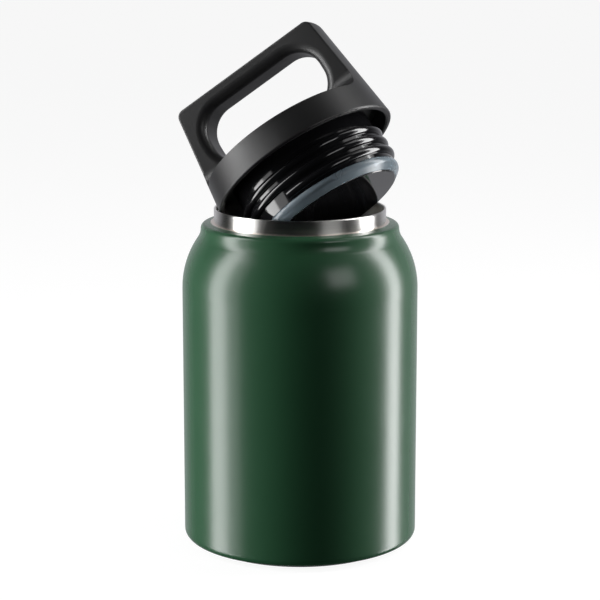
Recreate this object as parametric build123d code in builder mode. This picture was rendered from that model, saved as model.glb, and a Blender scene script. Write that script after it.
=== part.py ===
"""Wide-mouth vacuum flask with its screw lid taken off the thread and leaning in the mouth.

Millimetres, +Z up. The origin is the centre of the base pad's resting face, on the
flask's axis. The lid's pieces are drawn on the lid's own plane, whose origin is the
centre of the skirt's lower rim and whose Z runs up the lid's axis to the handle.
"""

from build123d import *
from math import cos, radians, sin, tan
import os

os.makedirs("parts", exist_ok=True)

# ---------------------------------------------------------------- flask sizes
mouth_z = 145.0  # top of the steel lip
body_r = 50.0  # outside of the barrel
shell_wall = 0.8
base_z = 2.0  # underside of the steel, above the pad's resting face
base_edge_r = 3.2  # rounding of the barrel's bottom edge
base_open_r = 44.0  # inner edge of the shell's turned-in bottom

collar_r = 42.0  # the short collar that carries the lid's skirt
collar_edge_r = 2.0
collar_blend_r = 7.5
shoulder_r = 37.0
shoulder_slope = 33.8  # degrees from upright, at the top of the shoulder
shoulder_corner = 22.8  # depth below the lip where slope and barrel lines cross
ledge_in, ledge_out = 5.6, 6.9  # depths below the lip, at the ring and at the collar
ledge_lap = 0.5  # the ledge is drawn this far inside the ring, then cut by it

neck_r = 36.4  # outside of the bare steel mouth ring
neck_bore_r = 35.5
neck_depth = 18.5  # the ring's weld to the liner
lip_round = 0.48  # of the wall's thickness, a full round less a hair
thread_pitch = 4.92
thread_in_r = 33.6  # crest of the female thread
thread_in_half = 1.25  # half the female ridge's width
thread_in_top = 5.6  # depth of its upper start
thread_in_turns = 1.6

liner_r = 47.4  # outside of the inner vessel
liner_wall = 0.6
seat_r = 30.6  # throat below the seal's seat
seat_top, seat_low = 26.2, 29.2  # depths of the 45 degree seal seat
seat_lead, throat_run = 3.0, 4.0  # taper above the seat, straight throat below it
seat_rounds = (1.2, 1.6, 2.0)
liner_shoulder = 44.0  # depth where the vessel reaches its full width
liner_shoulder_round = 9.0
liner_split_z = 26.0  # weld between the vessel and its drawn bottom
liner_base_z = 11.0
liner_base_round = 11.0

dish_r, dish_rise, dish_slope = 36.0, 2.2, 4.0  # raised middle of the bottom plate
dish_round = 2.0
dimple_r, dimple_rise, dimple_round = 5.0, 1.8, 0.5
vent_r = 1.0  # the hole the space is pumped out through
seal_r, seal_t = 3.4, 1.2

pad_r, pad_edge = 43.0, 0.7

foil_gap, foil_wall = 0.35, 0.25
foil_low, foil_high = 28.0, 98.0

getter_x, getter_r, getter_t, getter_edge = 18.0, 4.0, 1.6, 0.3
strap_w, strap_t, strap_foot, strap_round = 5.0, 0.4, 5.0, 0.5
strap_reach, strap_slant = 5.2, 0.6  # half the strap's bridge, and its leg's slant

# ------------------------------------------------------------------ lid sizes
skirt_r = 41.6  # outside of the skirt's lower rim
skirt_h = 12.4  # up to the top disc
lid_taper = 6.75  # degrees, shared by the skirt and the handle's ends
skirt_wall = 2.6
skirt_ease = 0.8
recess_h = 7.0  # ceiling of the groove that takes the mouth ring
socket_h = 9.6  # ceiling of the plug's socket
handle_h = 49.5
handle_half = 8.8  # half the slab's thickness
handle_corner_r = 3.4
handle_root_r = 8.0  # hollow blend from the slab's faces to the disc
handle_ease = 0.8
handle_sunk = 1.0  # how far the slab is sunk into the disc
grip_w, grip_low, grip_high = 57.6, 16.4, 42.4  # the finger opening
grip_corner_r = 11.5
grip_ease = 4.0

plug_r = 32.4  # root of the male thread
plug_wall = 2.2
plug_foot = 21.6  # depth of the end of the plug's barrel, on the disc's flange
thread_out_r = 34.2
thread_out_top = 3.2  # depth of the upper start below the skirt's rim
thread_out_turns = 2.6
thread_out_start = -108.0  # degrees round the lid to the thread's lower end
ridge_half, ridge_root = 1.8, 0.6  # half width and buried depth of the male thread

gasket_top, gasket_low = 18.4, 23.3  # depths below the skirt's rim
gasket_r = 32.9
gasket_core_r = 30.0
gasket_swell = 0.1  # its widest point, beyond gasket_r
gasket_waist = 2.4  # depth of the widest point below its top
gasket_lip = 0.4  # its foot, beyond the end disc
gasket_rounds = (1.0, 2.0, 0.2)
disc_r, disc_low, disc_edge = 29.4, 23.7, 0.5
foam_fit = 0.2  # clearance round the insulation

# the lid's resting place: its rim's centre, and which way and how far it leans
lid_x, lid_y, lid_z = 2.70, -2.17, mouth_z + 18.10
lid_lean, lid_lean_toward = 40.1, 141.26  # degrees from upright, and compass angle
handle_turn = -66.4  # degrees from the level line across the lid to the handle's width

near = 0.1  # slack, in mm, used when edges are picked by where they lie


def upright(depth):
    """Height of a point given by its depth below the lip."""
    return mouth_z - depth


def lid_plane():
    """The lid's plane: Z up its axis, X along the handle's width."""
    tip, turn = radians(lid_lean), radians(lid_lean_toward)
    up = Vector(sin(tip) * cos(turn), sin(tip) * sin(turn), cos(tip))
    level = up.cross(Vector(0, 0, 1)).normalized()
    across = level.rotate(Axis((0, 0, 0), up), handle_turn)
    return Plane(origin=(lid_x, lid_y, lid_z), x_dir=across, z_dir=up)


lid = lid_plane()
lid_axis = Axis(lid.origin, lid.z_dir)
slab = Plane(origin=lid.origin, x_dir=lid.x_dir, z_dir=-lid.y_dir)  # X across, Y up the lid
end_on = Plane(origin=lid.origin, x_dir=slab.z_dir, z_dir=-lid.x_dir)  # X through the handle


def cone_r(h):
    """Radius of the lid's outer cone at a height above the skirt's rim."""
    return skirt_r - h * tan(radians(lid_taper))


def closed(points):
    """Draw the outline through the points and back to the first."""
    return Polyline(*points, points[0])


# =============================================================== flask pieces
slope_up = (body_r - collar_r) / tan(radians(shoulder_slope))

with BuildPart() as outer_shell:
    with BuildSketch(Plane.XZ):
        with BuildLine():
            FilletPolyline(
                (neck_r - ledge_lap, upright(ledge_in)),
                (collar_r, upright(ledge_out)),
                (collar_r, upright(shoulder_corner) + slope_up),
                (body_r, upright(shoulder_corner)),
                (body_r, base_z),
                (base_open_r, base_z),
                radius=(collar_edge_r, collar_blend_r, shoulder_r, base_edge_r),
            )
            offset(amount=shell_wall, side=Side.RIGHT)
        make_face()
    revolve(axis=Axis.Z)
    with Locations((0, 0, upright(neck_depth / 2))):
        Cylinder(neck_r, neck_depth, mode=Mode.SUBTRACT)  # the mouth ring's seat
outer_shell.part.label = "outer_shell"
export_step(outer_shell.part, "parts/outer_shell.step")

# the bare ring with its rolled thread: a round-nosed ridge on a helix, run into the wall
ring_wall = neck_r - neck_bore_r
thread_in_h = thread_in_turns * thread_pitch
with BuildPart() as neck_ring:
    with BuildSketch(Plane.XZ):
        with Locations((neck_bore_r + ring_wall / 2, upright(neck_depth / 2))):
            Rectangle(ring_wall, neck_depth)
        lip = vertices().group_by(Axis.Y)[-1]
        fillet(lip, ring_wall * lip_round)
    revolve(axis=Axis.Z)
    with BuildLine():
        thread_in = Helix(
            pitch=thread_pitch,
            height=thread_in_h,
            radius=neck_bore_r,
            center=(0, 0, upright(thread_in_top + thread_in_h)),
        )
    with BuildSketch(Plane(thread_in @ 0, x_dir=(-1, 0, 0), z_dir=thread_in % 0)):
        with BuildLine():
            nose = neck_bore_r - thread_in_r
            Polyline(
                (0, -thread_in_half),
                (-ring_wall / 2, -thread_in_half),
                (-ring_wall / 2, thread_in_half),
                (0, thread_in_half),
            )
            ThreePointArc((0, thread_in_half), (nose, 0), (0, -thread_in_half))
        make_face()
    sweep(path=thread_in, is_frenet=True)
neck_ring.part.label = "neck_ring"
export_step(neck_ring.part, "parts/neck_ring.step")

with BuildPart() as inner_liner:
    with BuildSketch(Plane.XZ):
        with BuildLine():
            throat_r = seat_r + liner_wall
            FilletPolyline(
                (neck_r, upright(neck_depth)),
                (neck_r, upright(seat_top - seat_lead)),
                (throat_r, upright(seat_low)),
                (throat_r, upright(seat_low + throat_run)),
                (liner_r, upright(liner_shoulder)),
                (liner_r, liner_split_z),
                radius=(*seat_rounds, liner_shoulder_round),
            )
            offset(amount=liner_wall, side=Side.RIGHT)
        make_face()
    revolve(axis=Axis.Z)
inner_liner.part.label = "inner_liner"
export_step(inner_liner.part, "parts/inner_liner.step")

with BuildPart() as liner_bottom:
    with BuildSketch(Plane.XZ):
        with BuildLine():
            FilletPolyline(
                (liner_r, liner_split_z),
                (liner_r, liner_base_z),
                (0, liner_base_z),
                radius=(liner_base_round,),
            )
            offset(amount=liner_wall, side=Side.RIGHT)
        make_face()
    revolve(axis=Axis.Z)
liner_bottom.part.label = "liner_bottom"
export_step(liner_bottom.part, "parts/liner_bottom.step")

# dished bottom, welded inside the shell's turned-in edge, with the sealing dimple
dish_z = base_z + dish_rise
dimple_z = dish_z + dimple_rise
with BuildPart() as bottom_plate:
    with BuildSketch(Plane.XZ):
        with BuildLine():
            FilletPolyline(
                (base_open_r, base_z),
                (dish_r, base_z),
                (dish_r - dish_slope, dish_z),
                (dimple_r, dish_z),
                (dimple_r - vent_r, dimple_z),
                (vent_r, dimple_z),
                radius=(dish_round, dish_round, dimple_round, dimple_round),
            )
            offset(amount=shell_wall, side=Side.RIGHT)
        make_face()
    revolve(axis=Axis.Z)
bottom_plate.part.label = "bottom_plate"
export_step(bottom_plate.part, "parts/bottom_plate.step")

with BuildPart() as vacuum_seal:
    with BuildSketch(Plane.XY.offset(dimple_z - seal_t)):
        Circle(seal_r)
    extrude(amount=seal_t)
    fillet(edges().group_by(Axis.Z)[0], seal_t * 0.8)
vacuum_seal.part.label = "vacuum_seal"
export_step(vacuum_seal.part, "parts/vacuum_seal.step")

with BuildPart() as base_pad:
    with BuildSketch():
        Circle(pad_r)
    extrude(amount=base_z)
    fillet(edges().group_by(Axis.Z)[0], pad_edge)
base_pad.part.label = "base_pad"
export_step(base_pad.part, "parts/base_pad.step")

with BuildPart() as radiation_foil:
    with BuildSketch(Plane.XY.offset(foil_low)):
        Circle(liner_r + foil_gap + foil_wall)
        Circle(liner_r + foil_gap, mode=Mode.SUBTRACT)
    extrude(amount=foil_high - foil_low)
radiation_foil.part.label = "radiation_foil"
export_step(radiation_foil.part, "parts/radiation_foil.step")

# getter pellet under the vessel's bottom, and the sprung strap that holds it
getter_z = liner_base_z - strap_t - getter_t
with BuildPart() as getter:
    with BuildSketch(Plane.XY.offset(getter_z)):
        with Locations((getter_x, 0)):
            Circle(getter_r)
    extrude(amount=getter_t)
    fillet(edges(), getter_edge)
getter.part.label = "getter"
export_step(getter.part, "parts/getter.step")

with BuildPart() as getter_strap:
    with BuildSketch(Plane.XZ):
        with BuildLine():
            FilletPolyline(
                (getter_x - strap_reach - strap_foot, liner_base_z),
                (getter_x - strap_reach, liner_base_z),
                (getter_x - strap_reach + strap_slant, getter_z),
                (getter_x + strap_reach - strap_slant, getter_z),
                (getter_x + strap_reach, liner_base_z),
                (getter_x + strap_reach + strap_foot, liner_base_z),
                radius=strap_round,
            )
            offset(amount=strap_t, side=Side.RIGHT)
        make_face()
    extrude(amount=strap_w / 2, both=True)
getter_strap.part.label = "getter_strap"
export_step(getter_strap.part, "parts/getter_strap.step")

# ================================================================= lid pieces
grip_mid = (grip_low + grip_high) / 2
grip_h = grip_high - grip_low
root_h = skirt_h - handle_sunk
past_top = handle_h + handle_corner_r  # clear of the handle's top


def at_slab(edge):
    """The middle of an edge: X across the handle, Y up the lid, Z through the slab."""
    return slab.to_local_coords(edge.center())


def on_face(edge):
    """Whether an edge lies on one of the slab's two broad faces."""
    return abs(abs(at_slab(edge).Z) - handle_half) < near


def round_grip(edge, margin):
    """Whether an edge lies within a margin of the finger opening."""
    place = at_slab(edge)
    beside = abs(place.X) < grip_w / 2 + margin
    return beside and grip_low - margin < place.Y < grip_high + margin


with BuildPart() as cone:
    with BuildSketch(slab):
        with BuildLine():
            closed([(0, 0), (skirt_r, 0), (cone_r(past_top), past_top), (0, past_top)])
        make_face()
    revolve(axis=lid_axis)

# the handle: a slab whose ends follow the skirt's cone, pierced by the finger opening
with BuildPart() as handle:
    with BuildSketch(slab):
        with Locations((0, (root_h + handle_h) / 2)):
            Rectangle(2 * skirt_r, handle_h - root_h)
    extrude(amount=handle_half, both=True)
    add(cone.part, mode=Mode.INTERSECT)
    top_edges = [e for e in handle.edges() if at_slab(e).Y > handle_h - near]
    top_ends = [e for e in top_edges if abs(at_slab(e).X) > grip_w / 2]
    fillet(top_ends, handle_corner_r)
    with BuildSketch(slab):
        with Locations((0, grip_mid)):
            RectangleRounded(grip_w, grip_h, grip_corner_r)
    extrude(amount=handle_half, both=True, mode=Mode.SUBTRACT)
    face_edges = [e for e in handle.edges() if on_face(e)]
    fillet([e for e in face_edges if round_grip(e, near)], grip_ease)
    face_edges = [e for e in handle.edges() if on_face(e)]
    outline = [e for e in face_edges if not round_grip(e, grip_ease + near)]
    fillet([e for e in outline if at_slab(e).Y > root_h + near], handle_ease)

# the hollow blends from the slab's faces to the disc, kept clear of the opening
foot = handle_half + handle_root_r
blend_h = skirt_h + handle_root_r
inside = handle_half - handle_sunk
with BuildPart() as blends:
    with BuildSketch(end_on):
        for side in (1, -1):
            with BuildLine():
                start = (side * foot, skirt_h)
                end = (side * handle_half, blend_h)
                RadiusArc(start, end, side * handle_root_r)
                Polyline(end, (side * inside, blend_h), (side * inside, skirt_h), start)
            make_face()
    extrude(amount=skirt_r, both=True)
    add(cone.part, mode=Mode.INTERSECT)
    with BuildSketch(slab):
        with Locations((0, grip_mid)):
            RectangleRounded(
                grip_w + 2 * grip_ease,
                grip_h + 2 * grip_ease,
                grip_corner_r + grip_ease,
            )
    extrude(amount=skirt_r, both=True, mode=Mode.SUBTRACT)

# the cover: skirt, groove for the mouth ring, socket for the plug, and the handle
with BuildPart() as lid_cover:
    add(handle.part)
    add(blends.part)
    with BuildSketch(slab):
        with BuildLine():
            closed(
                [
                    (0, socket_h),
                    (plug_r, socket_h),
                    (plug_r, recess_h),
                    (cone_r(recess_h) - skirt_wall, recess_h),
                    (skirt_r - skirt_wall, 0),
                    (skirt_r, 0),
                    (cone_r(skirt_h), skirt_h),
                    (0, skirt_h),
                ]
            )
        make_face()
        fillet(vertices().group_by(Axis.Y)[0], skirt_ease)
    revolve(axis=lid_axis)
lid_cover.part.label = "lid_cover"
export_step(lid_cover.part, "parts/lid_cover.step")

# the plug: a hollow barrel with the male thread, stepped at its foot for the seal
thread_out_h = thread_out_turns * thread_pitch
thread_out_base = lid.from_local_coords(Vector(0, 0, -thread_out_top - thread_out_h))
with BuildPart() as lid_plug:
    with BuildSketch(slab):
        with BuildLine():
            closed(
                [
                    (plug_r - plug_wall, socket_h),
                    (plug_r, socket_h),
                    (plug_r, -gasket_top),
                    (gasket_core_r, -gasket_top),
                    (gasket_core_r, -plug_foot),
                    (gasket_core_r - plug_wall, -plug_foot),
                    (gasket_core_r - plug_wall, -gasket_top + plug_wall),
                    (plug_r - plug_wall, -gasket_top + plug_wall),
                ]
            )
        make_face()
    revolve(axis=lid_axis)
    with BuildLine():
        thread_out = Helix(
            pitch=thread_pitch,
            height=thread_out_h,
            radius=plug_r,
            center=thread_out_base,
            direction=lid.z_dir,
        ).rotate(lid_axis, thread_out_start)
    outward = (thread_out @ 0) - thread_out_base
    with BuildSketch(Plane(thread_out @ 0, x_dir=outward, z_dir=thread_out % 0)):
        with BuildLine():
            nose = thread_out_r - plug_r
            Polyline(
                (0, -ridge_half),
                (-ridge_root, -ridge_half),
                (-ridge_root, ridge_half),
                (0, ridge_half),
            )
            ThreePointArc((0, ridge_half), (nose, 0), (0, -ridge_half))
        make_face()
    sweep(path=thread_out, is_frenet=True)
lid_plug.part.label = "lid_plug"
export_step(lid_plug.part, "parts/lid_plug.step")

# the end disc: a flanged cap pressed into the plug's foot
with BuildPart() as lid_disc:
    with BuildSketch(slab):
        with BuildLine():
            closed(
                [
                    (0, -disc_low),
                    (disc_r, -disc_low),
                    (disc_r, -plug_foot),
                    (gasket_core_r - plug_wall, -plug_foot),
                    (gasket_core_r - plug_wall, -gasket_top),
                    (0, -gasket_top),
                ]
            )
        make_face()
        fillet(vertices().group_by(Axis.Y)[0].sort_by(Axis.X)[-1], disc_edge)
    revolve(axis=lid_axis)
lid_disc.part.label = "lid_disc"
export_step(lid_disc.part, "parts/lid_disc.step")

# the seal: a soft band with a round outer face, stretched over the plug's foot
with BuildPart() as lid_gasket:
    with BuildSketch(slab):
        with BuildLine():
            FilletPolyline(
                (gasket_core_r, -gasket_top),
                (gasket_r - 2 * gasket_swell, -gasket_top),
                (gasket_r + gasket_swell, -gasket_top - gasket_waist),
                (disc_r + gasket_lip, -gasket_low),
                (disc_r, -gasket_low),
                radius=gasket_rounds,
            )
            Polyline(
                (disc_r, -gasket_low),
                (disc_r, -plug_foot),
                (gasket_core_r, -plug_foot),
                (gasket_core_r, -gasket_top),
            )
        make_face()
    revolve(axis=lid_axis)
lid_gasket.part.label = "lid_gasket"
export_step(lid_gasket.part, "parts/lid_gasket.step")

# the insulation that fills the hollow plug
foam_low = -gasket_top + plug_wall
with BuildPart() as lid_foam:
    with BuildSketch(lid.offset(foam_low)):
        Circle(plug_r - plug_wall - foam_fit)
    extrude(amount=socket_h - foam_low - foam_fit)
lid_foam.part.label = "lid_foam"
export_step(lid_foam.part, "parts/lid_foam.step")
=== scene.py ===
from math import radians

import bpy
import numpy as np
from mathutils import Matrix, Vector

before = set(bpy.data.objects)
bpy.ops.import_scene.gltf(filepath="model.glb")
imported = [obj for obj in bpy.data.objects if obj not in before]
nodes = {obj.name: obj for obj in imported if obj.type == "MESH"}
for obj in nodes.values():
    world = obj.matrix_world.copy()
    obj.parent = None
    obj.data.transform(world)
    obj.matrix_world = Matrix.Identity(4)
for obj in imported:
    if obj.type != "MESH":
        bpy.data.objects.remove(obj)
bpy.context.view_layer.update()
print("part loaded:", len(nodes), "nodes")



def newNode(tree, kind, place, **settings):
    node = tree.nodes.new(kind)
    node.location = place
    for name, value in settings.items():
        setattr(node, name, value)
    return node


def wire(tree, source, target):
    tree.links.new(source, target)


def setInputs(node, **values):
    for name, value in values.items():
        node.inputs[name.replace("_", " ")].default_value = value


def mathNode(tree, operation, place, first, second=None):
    # first and second are sockets or plain numbers
    node = newNode(tree, "ShaderNodeMath", place, operation=operation)
    for slot, value in enumerate((first, second)):
        if value is None:
            continue
        if isinstance(value, (int, float)):
            node.inputs[slot].default_value = value
        else:
            wire(tree, value, node.inputs[slot])
    return node.outputs[0]


def mixColour(tree, place, factor, first, second):
    node = newNode(tree, "ShaderNodeMix", place, data_type="RGBA")
    for slot, value in ((0, factor), (6, first), (7, second)):
        if isinstance(value, bpy.types.NodeSocket):
            wire(tree, value, node.inputs[slot])
        else:
            node.inputs[slot].default_value = value
    return node.outputs[2]


def rangeNode(tree, place, value, low, high, toLow, toHigh, smooth=True):
    node = newNode(tree, "ShaderNodeMapRange", place)
    node.interpolation_type = "SMOOTHSTEP" if smooth else "LINEAR"
    wire(tree, value, node.inputs["Value"])
    setInputs(node, From_Min=low, From_Max=high, To_Min=toLow, To_Max=toHigh)
    return node.outputs["Result"]


def newGroup(name, inputs, outputs):
    # inputs: (name, kind, default); outputs: (name, kind)
    group = bpy.data.node_groups.new(name, "ShaderNodeTree")
    for label, kind, default in inputs:
        socket = group.interface.new_socket(label, in_out="INPUT", socket_type=kind)
        if default is not None:
            socket.default_value = default
    for label, kind in outputs:
        group.interface.new_socket(label, in_out="OUTPUT", socket_type=kind)
    start = newNode(group, "NodeGroupInput", (-900, 0))
    end = newNode(group, "NodeGroupOutput", (900, 0))
    return group, start, end


def placeGroup(tree, group, place, **values):
    node = newNode(tree, "ShaderNodeGroup", place, node_tree=group)
    setInputs(node, **values)
    return node


def makeGrain():
    # fine moulded or sprayed texture: two noises of different size, added
    group, start, end = newGroup(
        "fineGrain",
        [
            ("Position", "NodeSocketVector", None),
            ("Grain Size", "NodeSocketFloat", 0.0004),
            ("Patch Size", "NodeSocketFloat", 0.02),
        ],
        [("Height", "NodeSocketFloat"), ("Patches", "NodeSocketFloat")],
    )
    grainScale = mathNode(group, "DIVIDE", (-700, 200), 1.0, start.outputs["Grain Size"])
    patchScale = mathNode(group, "DIVIDE", (-700, -200), 1.0, start.outputs["Patch Size"])
    fine = newNode(group, "ShaderNodeTexNoise", (-500, 300))
    setInputs(fine, Detail=2.0, Roughness=0.55)
    coarse = newNode(group, "ShaderNodeTexNoise", (-500, 0))
    setInputs(coarse, Detail=1.0)
    patch = newNode(group, "ShaderNodeTexNoise", (-500, -300))
    setInputs(patch, Detail=4.0, Roughness=0.6)
    halfScale = mathNode(group, "MULTIPLY", (-600, 60), grainScale, 0.37)
    for noise, scale in ((fine, grainScale), (coarse, halfScale), (patch, patchScale)):
        wire(group, start.outputs["Position"], noise.inputs["Vector"])
        wire(group, scale, noise.inputs["Scale"])
    share = mathNode(group, "MULTIPLY", (-250, 100), coarse.outputs["Fac"], 0.8)
    height = mathNode(group, "ADD", (-50, 200), fine.outputs["Fac"], share)
    wire(group, height, end.inputs["Height"])
    wire(group, patch.outputs["Fac"], end.inputs["Patches"])
    return group


def makeTurned():
    # circular brushing round the flask's axis: noise on angle, radius and height,
    # stretched very long round the axis
    group, start, end = newGroup(
        "turnedLines",
        [
            ("Position", "NodeSocketVector", None),
            ("Line Width", "NodeSocketFloat", 0.00012),
            ("Streak Turns", "NodeSocketFloat", 6.0),
        ],
        [("Lines", "NodeSocketFloat"), ("Streaks", "NodeSocketFloat")],
    )
    split = newNode(group, "ShaderNodeSeparateXYZ", (-700, 0))
    wire(group, start.outputs["Position"], split.inputs[0])
    x, y, z = split.outputs
    angle = mathNode(group, "ARCTAN2", (-500, 200), y, x)
    xx = mathNode(group, "MULTIPLY", (-500, 40), x, x)
    yy = mathNode(group, "MULTIPLY", (-500, -80), y, y)
    radius = mathNode(group, "SQRT", (-200, -20), mathNode(group, "ADD", (-350, -20), xx, yy))
    scale = mathNode(group, "DIVIDE", (-500, -250), 1.0, start.outputs["Line Width"])
    along = mathNode(group, "MULTIPLY", (-300, 200), angle, start.outputs["Streak Turns"])
    up = mathNode(group, "MULTIPLY", (-100, -200), z, scale)
    out = mathNode(group, "MULTIPLY", (-100, -60), radius, scale)
    place = newNode(group, "ShaderNodeCombineXYZ", (100, 60))
    for slot, value in enumerate((along, out, up)):
        wire(group, value, place.inputs[slot])
    lines = newNode(group, "ShaderNodeTexNoise", (300, 150))
    setInputs(lines, Scale=1.0, Detail=3.0, Roughness=0.65)
    streaks = newNode(group, "ShaderNodeTexNoise", (300, -150))
    setInputs(streaks, Scale=0.22, Detail=2.0)
    for noise in (lines, streaks):
        wire(group, place.outputs[0], noise.inputs["Vector"])
    wire(group, lines.outputs["Fac"], end.inputs["Lines"])
    wire(group, streaks.outputs["Fac"], end.inputs["Streaks"])
    return group


def makeSmudges():
    # faint handling marks and dust: broad soft patches from one noise with a little finer detail
    group, start, end = newGroup(
        "handlingMarks",
        [("Position", "NodeSocketVector", None), ("Mark Size", "NodeSocketFloat", 0.015)],
        [("Marks", "NodeSocketFloat")],
    )
    scale = mathNode(group, "DIVIDE", (-700, 0), 1.0, start.outputs["Mark Size"])
    broad = newNode(group, "ShaderNodeTexNoise", (-450, 150))
    setInputs(broad, Detail=2.0, Roughness=0.5)
    wire(group, start.outputs["Position"], broad.inputs["Vector"])
    wire(group, scale, broad.inputs["Scale"])
    marks = rangeNode(group, (-100, 100), broad.outputs["Fac"], 0.3, 0.75, 0.0, 1.0)
    wire(group, marks, end.inputs["Marks"])
    return group


fineGrain = makeGrain()
turnedLines = makeTurned()
handlingMarks = makeSmudges()
print("shared effects ready")


def startMaterial(name, constants):
    # a Principled shader with its constant sockets set, and the object position to build on
    material = bpy.data.materials.new(name)
    material.use_nodes = True
    tree = material.node_tree
    tree.nodes.clear()
    shader = newNode(tree, "ShaderNodeBsdfPrincipled", (500, 0))
    output = newNode(tree, "ShaderNodeOutputMaterial", (800, 0))
    wire(tree, shader.outputs[0], output.inputs[0])
    for label, value in constants.items():
        shader.inputs[label].default_value = value
    position = newNode(tree, "ShaderNodeTexCoord", (-1100, 0)).outputs["Object"]
    return material, tree, shader, position


def addBump(tree, shader, height, strength, depth):
    bump = newNode(tree, "ShaderNodeBump", (250, -350))
    setInputs(bump, Strength=strength, Distance=depth)
    wire(tree, height, bump.inputs["Height"])
    wire(tree, bump.outputs[0], shader.inputs["Normal"])


def radiusFromAxis(tree, position, place):
    # distance of a point from the flask's axis, and its height
    split = newNode(tree, "ShaderNodeSeparateXYZ", place)
    wire(tree, position, split.inputs[0])
    x, y, z = split.outputs
    xx = mathNode(tree, "MULTIPLY", (place[0] + 180, 60), x, x)
    yy = mathNode(tree, "MULTIPLY", (place[0] + 180, -60), y, y)
    total = mathNode(tree, "ADD", (place[0] + 340, 0), xx, yy)
    return mathNode(tree, "SQRT", (place[0] + 480, 0), total), z


# the body's green powder coat, with the bare steel edge it stops at under the mouth

powderCoat = {
    "green": (0.020, 0.088, 0.038, 1.0),
    "deepGreen": (0.018, 0.080, 0.034, 1.0),
    "bareSteel": (0.74, 0.66, 0.60, 1.0),
    "roughness": (0.22, 0.28),
    "haze": 0.25,
    "hazeRoughness": 0.62,
    "bareRoughness": 0.3,
    "coatEdge": 0.0381,  # radius where the coat thins out on the ledge
    "coatFade": 0.0006,
    "ledgeHeight": 0.137,
    "grainSize": 0.00045,
}


def makePowderCoat(s):
    material, tree, shader, position = startMaterial(
        "powderCoat", {"IOR": 1.5, "Coat Weight": s["haze"], "Coat Roughness": s["hazeRoughness"]}
    )
    grain = placeGroup(tree, fineGrain, (-800, 200), Grain_Size=s["grainSize"], Patch_Size=0.03)
    wire(tree, position, grain.inputs["Position"])
    coat = mixColour(tree, (-450, 250), grain.outputs["Patches"], s["deepGreen"], s["green"])
    radius, height = radiusFromAxis(tree, position, (-1000, -400))
    outer = rangeNode(
        tree, (-400, -300), radius, s["coatEdge"] - s["coatFade"], s["coatEdge"], 0.0, 1.0
    )
    below = rangeNode(
        tree, (-400, -500), height, s["ledgeHeight"] - 0.0005, s["ledgeHeight"], 1.0, 0.0
    )
    covered = mathNode(tree, "MAXIMUM", (-200, -400), outer, below)
    wire(tree, mixColour(tree, (0, 250), covered, s["bareSteel"], coat), shader.inputs["Base Color"])
    low, high = s["roughness"]
    coatRough = rangeNode(
        tree, (-300, 0), grain.outputs["Patches"], 0.0, 1.0, low, high, smooth=False
    )
    rough = newNode(tree, "ShaderNodeMix", (0, 0), data_type="FLOAT")
    wire(tree, covered, rough.inputs[0])
    rough.inputs[2].default_value = s["bareRoughness"]
    wire(tree, coatRough, rough.inputs[3])
    wire(tree, rough.outputs[0], shader.inputs["Roughness"])
    wire(tree, mathNode(tree, "SUBTRACT", (0, -200), 1.0, covered), shader.inputs["Metallic"])
    addBump(tree, shader, grain.outputs["Height"], 0.12, 0.00006)
    return material


# bare steels: the brushed mouth ring, the polished vessel, the foil and the getter

mouthRing = {
    "bright": (0.80, 0.79, 0.77, 1.0),
    "dull": (0.66, 0.65, 0.63, 1.0),
    "roughness": (0.26, 0.36),
    "lineWidth": 0.00011,
    "stretch": 0.92,
    "turn": 0.25,
}
vesselSteel = {
    "bright": (0.66, 0.66, 0.65, 1.0),
    "dull": (0.52, 0.52, 0.51, 1.0),
    "roughness": (0.22, 0.36),
    "lineWidth": 0.00025,
    "stretch": 0.3,
    "turn": 0.25,
}


def makeTurnedSteel(name, s):
    material, tree, shader, position = startMaterial(
        name,
        {"Metallic": 1.0, "Anisotropic": s["stretch"], "Anisotropic Rotation": s["turn"]},
    )
    lines = placeGroup(tree, turnedLines, (-800, 200), Line_Width=s["lineWidth"])
    marks = placeGroup(tree, handlingMarks, (-800, -100), Mark_Size=0.012)
    for group in (lines, marks):
        wire(tree, position, group.inputs["Position"])
    shade = mixColour(tree, (-350, 250), lines.outputs["Streaks"], s["dull"], s["bright"])
    wire(tree, shade, shader.inputs["Base Color"])
    low, high = s["roughness"]
    mixed = mathNode(tree, "MULTIPLY", (-500, 0), marks.outputs["Marks"], 0.35)
    worn = mathNode(tree, "ADD", (-350, 0), lines.outputs["Lines"], mixed)
    rough = rangeNode(tree, (-100, 0), worn, 0.3, 1.0, low, high, smooth=False)
    wire(tree, rough, shader.inputs["Roughness"])
    addBump(tree, shader, lines.outputs["Lines"], 0.25, 0.00001)
    return material


foilFinish = {
    "bright": (0.86, 0.86, 0.87, 1.0),
    "dull": (0.70, 0.70, 0.72, 1.0),
    "metallic": 1.0,
    "roughness": (0.12, 0.4),
    "grainSize": 0.004,
    "grainDepth": 0.0003,
    "patchSize": 0.012,
}
getterFinish = {
    "bright": (0.30, 0.30, 0.31, 1.0),
    "dull": (0.20, 0.20, 0.21, 1.0),
    "metallic": 0.8,
    "roughness": (0.6, 0.8),
    "grainSize": 0.0002,
    "grainDepth": 0.00004,
    "patchSize": 0.002,
}

# mouldings: soft-touch cover, glossy plug and end disc, pad, foam, sealing bead

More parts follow.
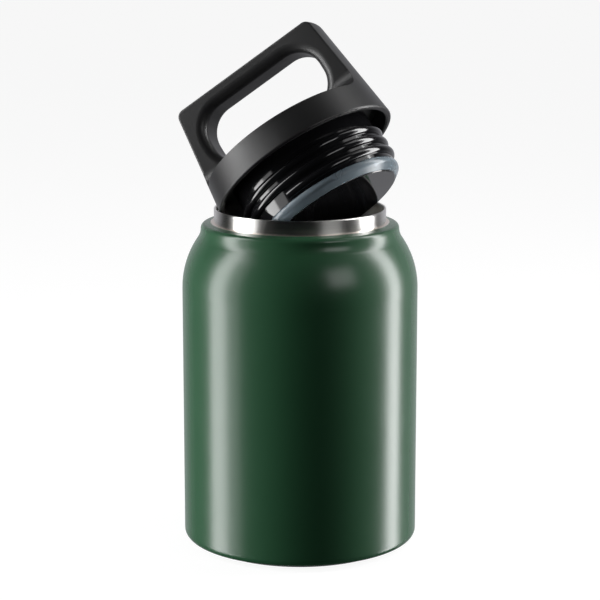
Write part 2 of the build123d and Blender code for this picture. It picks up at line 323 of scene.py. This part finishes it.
coverFinish = {
    "bright": (0.016, 0.016, 0.0165, 1.0),
    "dull": (0.012, 0.012, 0.0125, 1.0),
    "metallic": 0.0,
    "roughness": (0.38, 0.46),
    "grainSize": 0.00028,
    "grainDepth": 0.00004,
    "patchSize": 0.01,
}
glossFinish = {
    "bright": (0.010, 0.010, 0.011, 1.0),
    "dull": (0.006, 0.006, 0.007, 1.0),
    "metallic": 0.0,
    "roughness": (0.05, 0.12),
    "grainSize": 0.003,
    "grainDepth": 0.00001,
    "patchSize": 0.008,
}
padFinish = {
    "bright": (0.022, 0.022, 0.022, 1.0),
    "dull": (0.014, 0.014, 0.014, 1.0),
    "metallic": 0.0,
    "roughness": (0.7, 0.85),
    "grainSize": 0.0005,
    "grainDepth": 0.00008,
    "patchSize": 0.006,
}
foamFinish = {
    "bright": (0.88, 0.86, 0.80, 1.0),
    "dull": (0.74, 0.71, 0.64, 1.0),
    "metallic": 0.0,
    "roughness": (0.85, 0.95),
    "grainSize": 0.0012,
    "grainDepth": 0.0003,
    "patchSize": 0.01,
}
beadFinish = {
    "bright": (0.20, 0.17, 0.13, 1.0),
    "dull": (0.12, 0.10, 0.08, 1.0),
    "metallic": 0.0,
    "roughness": (0.1, 0.2),
    "grainSize": 0.0008,
    "grainDepth": 0.00003,
    "patchSize": 0.002,
}


def makeGrained(name, s, **constants):
    # colour and gloss vary in broad patches and handling marks, the surface in fine grain
    settings = {"Metallic": s["metallic"]}
    settings.update({label.replace("_", " "): value for label, value in constants.items()})
    material, tree, shader, position = startMaterial(name, settings)
    grain = placeGroup(
        tree, fineGrain, (-800, 200), Grain_Size=s["grainSize"], Patch_Size=s["patchSize"]
    )
    marks = placeGroup(tree, handlingMarks, (-800, -100), Mark_Size=3 * s["patchSize"])
    for group in (grain, marks):
        wire(tree, position, group.inputs["Position"])
    shade = mixColour(tree, (-350, 250), grain.outputs["Patches"], s["dull"], s["bright"])
    wire(tree, shade, shader.inputs["Base Color"])
    low, high = s["roughness"]
    rough = rangeNode(tree, (-300, 0), marks.outputs["Marks"], 0.0, 1.0, low, high)
    wire(tree, rough, shader.inputs["Roughness"])
    addBump(tree, shader, grain.outputs["Height"], 0.2, s["grainDepth"])
    return material


# the seal's milky silicone

sealFinish = {
    "clear": (0.22, 0.31, 0.38, 1.0),
    "milky": (0.50, 0.58, 0.63, 1.0),
    "roughness": (0.16, 0.28),
    "letThrough": 0.60,
}


def makeSilicone(s):
    material, tree, shader, position = startMaterial(
        "siliconeSeal",
        {"IOR": 1.41, "Transmission Weight": s["letThrough"], "Specular IOR Level": 0.5},
    )
    grain = placeGroup(tree, fineGrain, (-800, 200), Grain_Size=0.0006, Patch_Size=0.012)
    marks = placeGroup(tree, handlingMarks, (-800, -100), Mark_Size=0.02)
    for group in (grain, marks):
        wire(tree, position, group.inputs["Position"])
    shade = mixColour(tree, (-350, 250), grain.outputs["Patches"], s["clear"], s["milky"])
    wire(tree, shade, shader.inputs["Base Color"])
    low, high = s["roughness"]
    rough = rangeNode(tree, (-300, 0), marks.outputs["Marks"], 0.0, 1.0, low, high)
    wire(tree, rough, shader.inputs["Roughness"])
    addBump(tree, shader, grain.outputs["Height"], 0.05, 0.00002)
    return material


def dress(material, *names):
    for name in names:
        slots = nodes[name].data.materials
        if not slots:
            slots.append(material)
        for index in range(len(slots)):
            slots[index] = material


dress(makePowderCoat(powderCoat), "outer_shell")
dress(makeTurnedSteel("mouthRingSteel", mouthRing), "neck_ring")
steelInside = makeTurnedSteel("vesselSteel", vesselSteel)
dress(steelInside, "inner_liner", "liner_bottom", "bottom_plate", "getter_strap")
dress(makeGrained("wrappedFoil", foilFinish), "radiation_foil")
dress(makeGrained("getterMetal", getterFinish), "getter")
dress(makeGrained("softTouchCover", coverFinish), "lid_cover")
dress(makeGrained("glossPlug", glossFinish, Coat_Weight=0.1, Coat_Roughness=0.10), "lid_plug")
dress(makeGrained("glossDisc", glossFinish, Coat_Weight=0.4, Coat_Roughness=0.03), "lid_disc")
dress(makeGrained("padRubber", padFinish), "base_pad")
dress(makeGrained("insulationFoam", foamFinish), "lid_foam")
dress(makeGrained("sealingBead", beadFinish), "vacuum_seal")
dress(makeSilicone(sealFinish), "lid_gasket")
print("finishes applied")


# studio: pale floor, bright surround, four tall soft boxes and three smaller ones

studio = {
    "floorHalf": 6.0,
    "floorColour": (0.16, 0.16, 0.16, 1.0),
    "floorGlow": 0.92,
    "surround": (0.95, 0.95, 0.95, 1.0),  # what the camera sees past the floor
    "frontTone": (0.005, 0.005, 0.006, 1.0),  # what the flask mirrors in front of it
    "backTone": (0.55, 0.55, 0.58, 1.0),
}


def makeFloor(s):
    half = s["floorHalf"]
    corners = [(-half, -half, 0), (half, -half, 0), (half, half, 0), (-half, half, 0)]
    mesh = bpy.data.meshes.new("floor")
    mesh.from_pydata(corners, [], [(0, 1, 2, 3)])
    floor = bpy.data.objects.new("floor", mesh)
    bpy.context.scene.collection.objects.link(floor)
    material = bpy.data.materials.new("paleFloor")
    material.use_nodes = True
    tree = material.node_tree
    tree.nodes.clear()
    matt = newNode(tree, "ShaderNodeBsdfDiffuse", (0, 100))
    setInputs(matt, Color=s["floorColour"])
    glow = newNode(tree, "ShaderNodeEmission", (0, -100))
    setInputs(glow, Strength=s["floorGlow"])
    both = newNode(tree, "ShaderNodeAddShader", (250, 0))
    output = newNode(tree, "ShaderNodeOutputMaterial", (450, 0))
    wire(tree, matt.outputs[0], both.inputs[0])
    wire(tree, glow.outputs[0], both.inputs[1])
    wire(tree, both.outputs[0], output.inputs[0])
    mesh.materials.append(material)
    floor.visible_glossy = False
    floor.visible_diffuse = False
    floor.visible_transmission = False
    floor.visible_shadow = False


def makeSurround(s):
    world = bpy.data.worlds.new("studioSurround")
    bpy.context.scene.world = world
    world.use_nodes = True
    tree = world.node_tree
    tree.nodes.clear()
    direction = newNode(tree, "ShaderNodeTexCoord", (-900, 0)).outputs["Generated"]
    split = newNode(tree, "ShaderNodeSeparateXYZ", (-700, 0))
    wire(tree, direction, split.inputs[0])
    depth = rangeNode(tree, (-500, 0), split.outputs[1], 0.45, 1.0, 0.0, 1.0)
    tone = mixColour(tree, (-250, 0), depth, s["frontTone"], s["backTone"])
    mirrored = newNode(tree, "ShaderNodeBackground", (0, -100))
    wire(tree, tone, mirrored.inputs["Color"])
    seen = newNode(tree, "ShaderNodeBackground", (0, 100))
    setInputs(seen, Color=s["surround"])
    rays = newNode(tree, "ShaderNodeLightPath", (0, 400))
    choose = newNode(tree, "ShaderNodeMixShader", (250, 0))
    output = newNode(tree, "ShaderNodeOutputWorld", (450, 0))
    wire(tree, rays.outputs["Is Camera Ray"], choose.inputs[0])
    wire(tree, mirrored.outputs[0], choose.inputs[1])
    wire(tree, seen.outputs[0], choose.inputs[2])
    wire(tree, choose.outputs[0], output.inputs[0])


# azimuth turns from the front (-Y) towards +X; glow is the box's own brightness;
# an upright box stands level, the others lean towards aimHeight on the axis
aimHeight = 0.12
softBoxes = {
    "leftWide": {
        "azimuth": -77,
        "height": 0.2,
        "distance": 0.75,
        "width": 0.48,
        "tall": 1.3,
        "glow": 1.9,
        "upright": True,
    },
    "leftCore": {
        "azimuth": -84,
        "height": 0.2,
        "distance": 0.72,
        "width": 0.25,
        "tall": 1.3,
        "glow": 6.6,
        "upright": True,
    },
    "rightWide": {
        "azimuth": 99,
        "height": 0.2,
        "distance": 0.75,
        "width": 0.34,
        "tall": 1.3,
        "glow": 1.4,
        "upright": True,
    },
    "rightCore": {
        "azimuth": 101,
        "height": 0.2,
        "distance": 0.72,
        "width": 0.21,
        "tall": 1.3,
        "glow": 9.0,
        "upright": True,
    },
    "frontHigh": {
        "azimuth": 43,
        "height": 0.46,
        "distance": 0.75,
        "width": 0.36,
        "tall": 0.30,
        "glow": 2.6,
        "upright": False,
    },
    "rightHigh": {
        "azimuth": 100,
        "height": 0.80,
        "distance": 0.5,
        "width": 0.45,
        "tall": 0.40,
        "glow": 1.5,
        "upright": False,
    },
    "overhead": {
        "azimuth": 180,
        "height": 1.25,
        "distance": 0.45,
        "width": 0.7,
        "tall": 0.7,
        "glow": 0.8,
        "upright": False,
    },
}


def makeSoftBox(name, s):
    # an area light on a circle round the flask, facing its axis
    lamp = bpy.data.lights.new(name, "AREA")
    lamp.shape = "RECTANGLE"
    lamp.size = s["width"]
    lamp.size_y = s["tall"]
    lamp.energy = s["glow"] * s["width"] * s["tall"] * np.pi  # watts for that brightness
    box = bpy.data.objects.new(name, lamp)
    bpy.context.scene.collection.objects.link(box)
    turn = radians(s["azimuth"])
    place = np.array([np.sin(turn), -np.cos(turn), 0.0]) * s["distance"]
    place[2] = s["height"]
    toward = np.array([0.0, 0.0, aimHeight]) - place
    if s["upright"]:
        toward[2] = 0
    box.location = place
    box.rotation_mode = "QUATERNION"
    aim = Vector(toward).to_track_quat("-Z", "Y")
    box.rotation_quaternion = aim
    box.visible_camera = False


makeFloor(studio)
makeSurround(studio)
for name, s in softBoxes.items():
    makeSoftBox(name, s)
print("studio lit")

viewpoint = {
    "place": (0.0, -0.890, 0.2884),
    "tiltDown": 11.65,
    "lens": 127.9,
    "sensor": 36.0,
}


def makeCamera(s):
    data = bpy.data.cameras.new("flaskCamera")
    data.sensor_width = s["sensor"]
    data.lens = s["lens"]
    data.clip_start = 0.01
    data.clip_end = 100
    camera = bpy.data.objects.new("flaskCamera", data)
    bpy.context.scene.collection.objects.link(camera)
    camera.location = s["place"]
    camera.rotation_euler = (radians(90 - s["tiltDown"]), 0, 0)
    bpy.context.scene.camera = camera


makeCamera(viewpoint)
bpy.context.scene.view_settings.view_transform = "Standard"
print("camera placed")
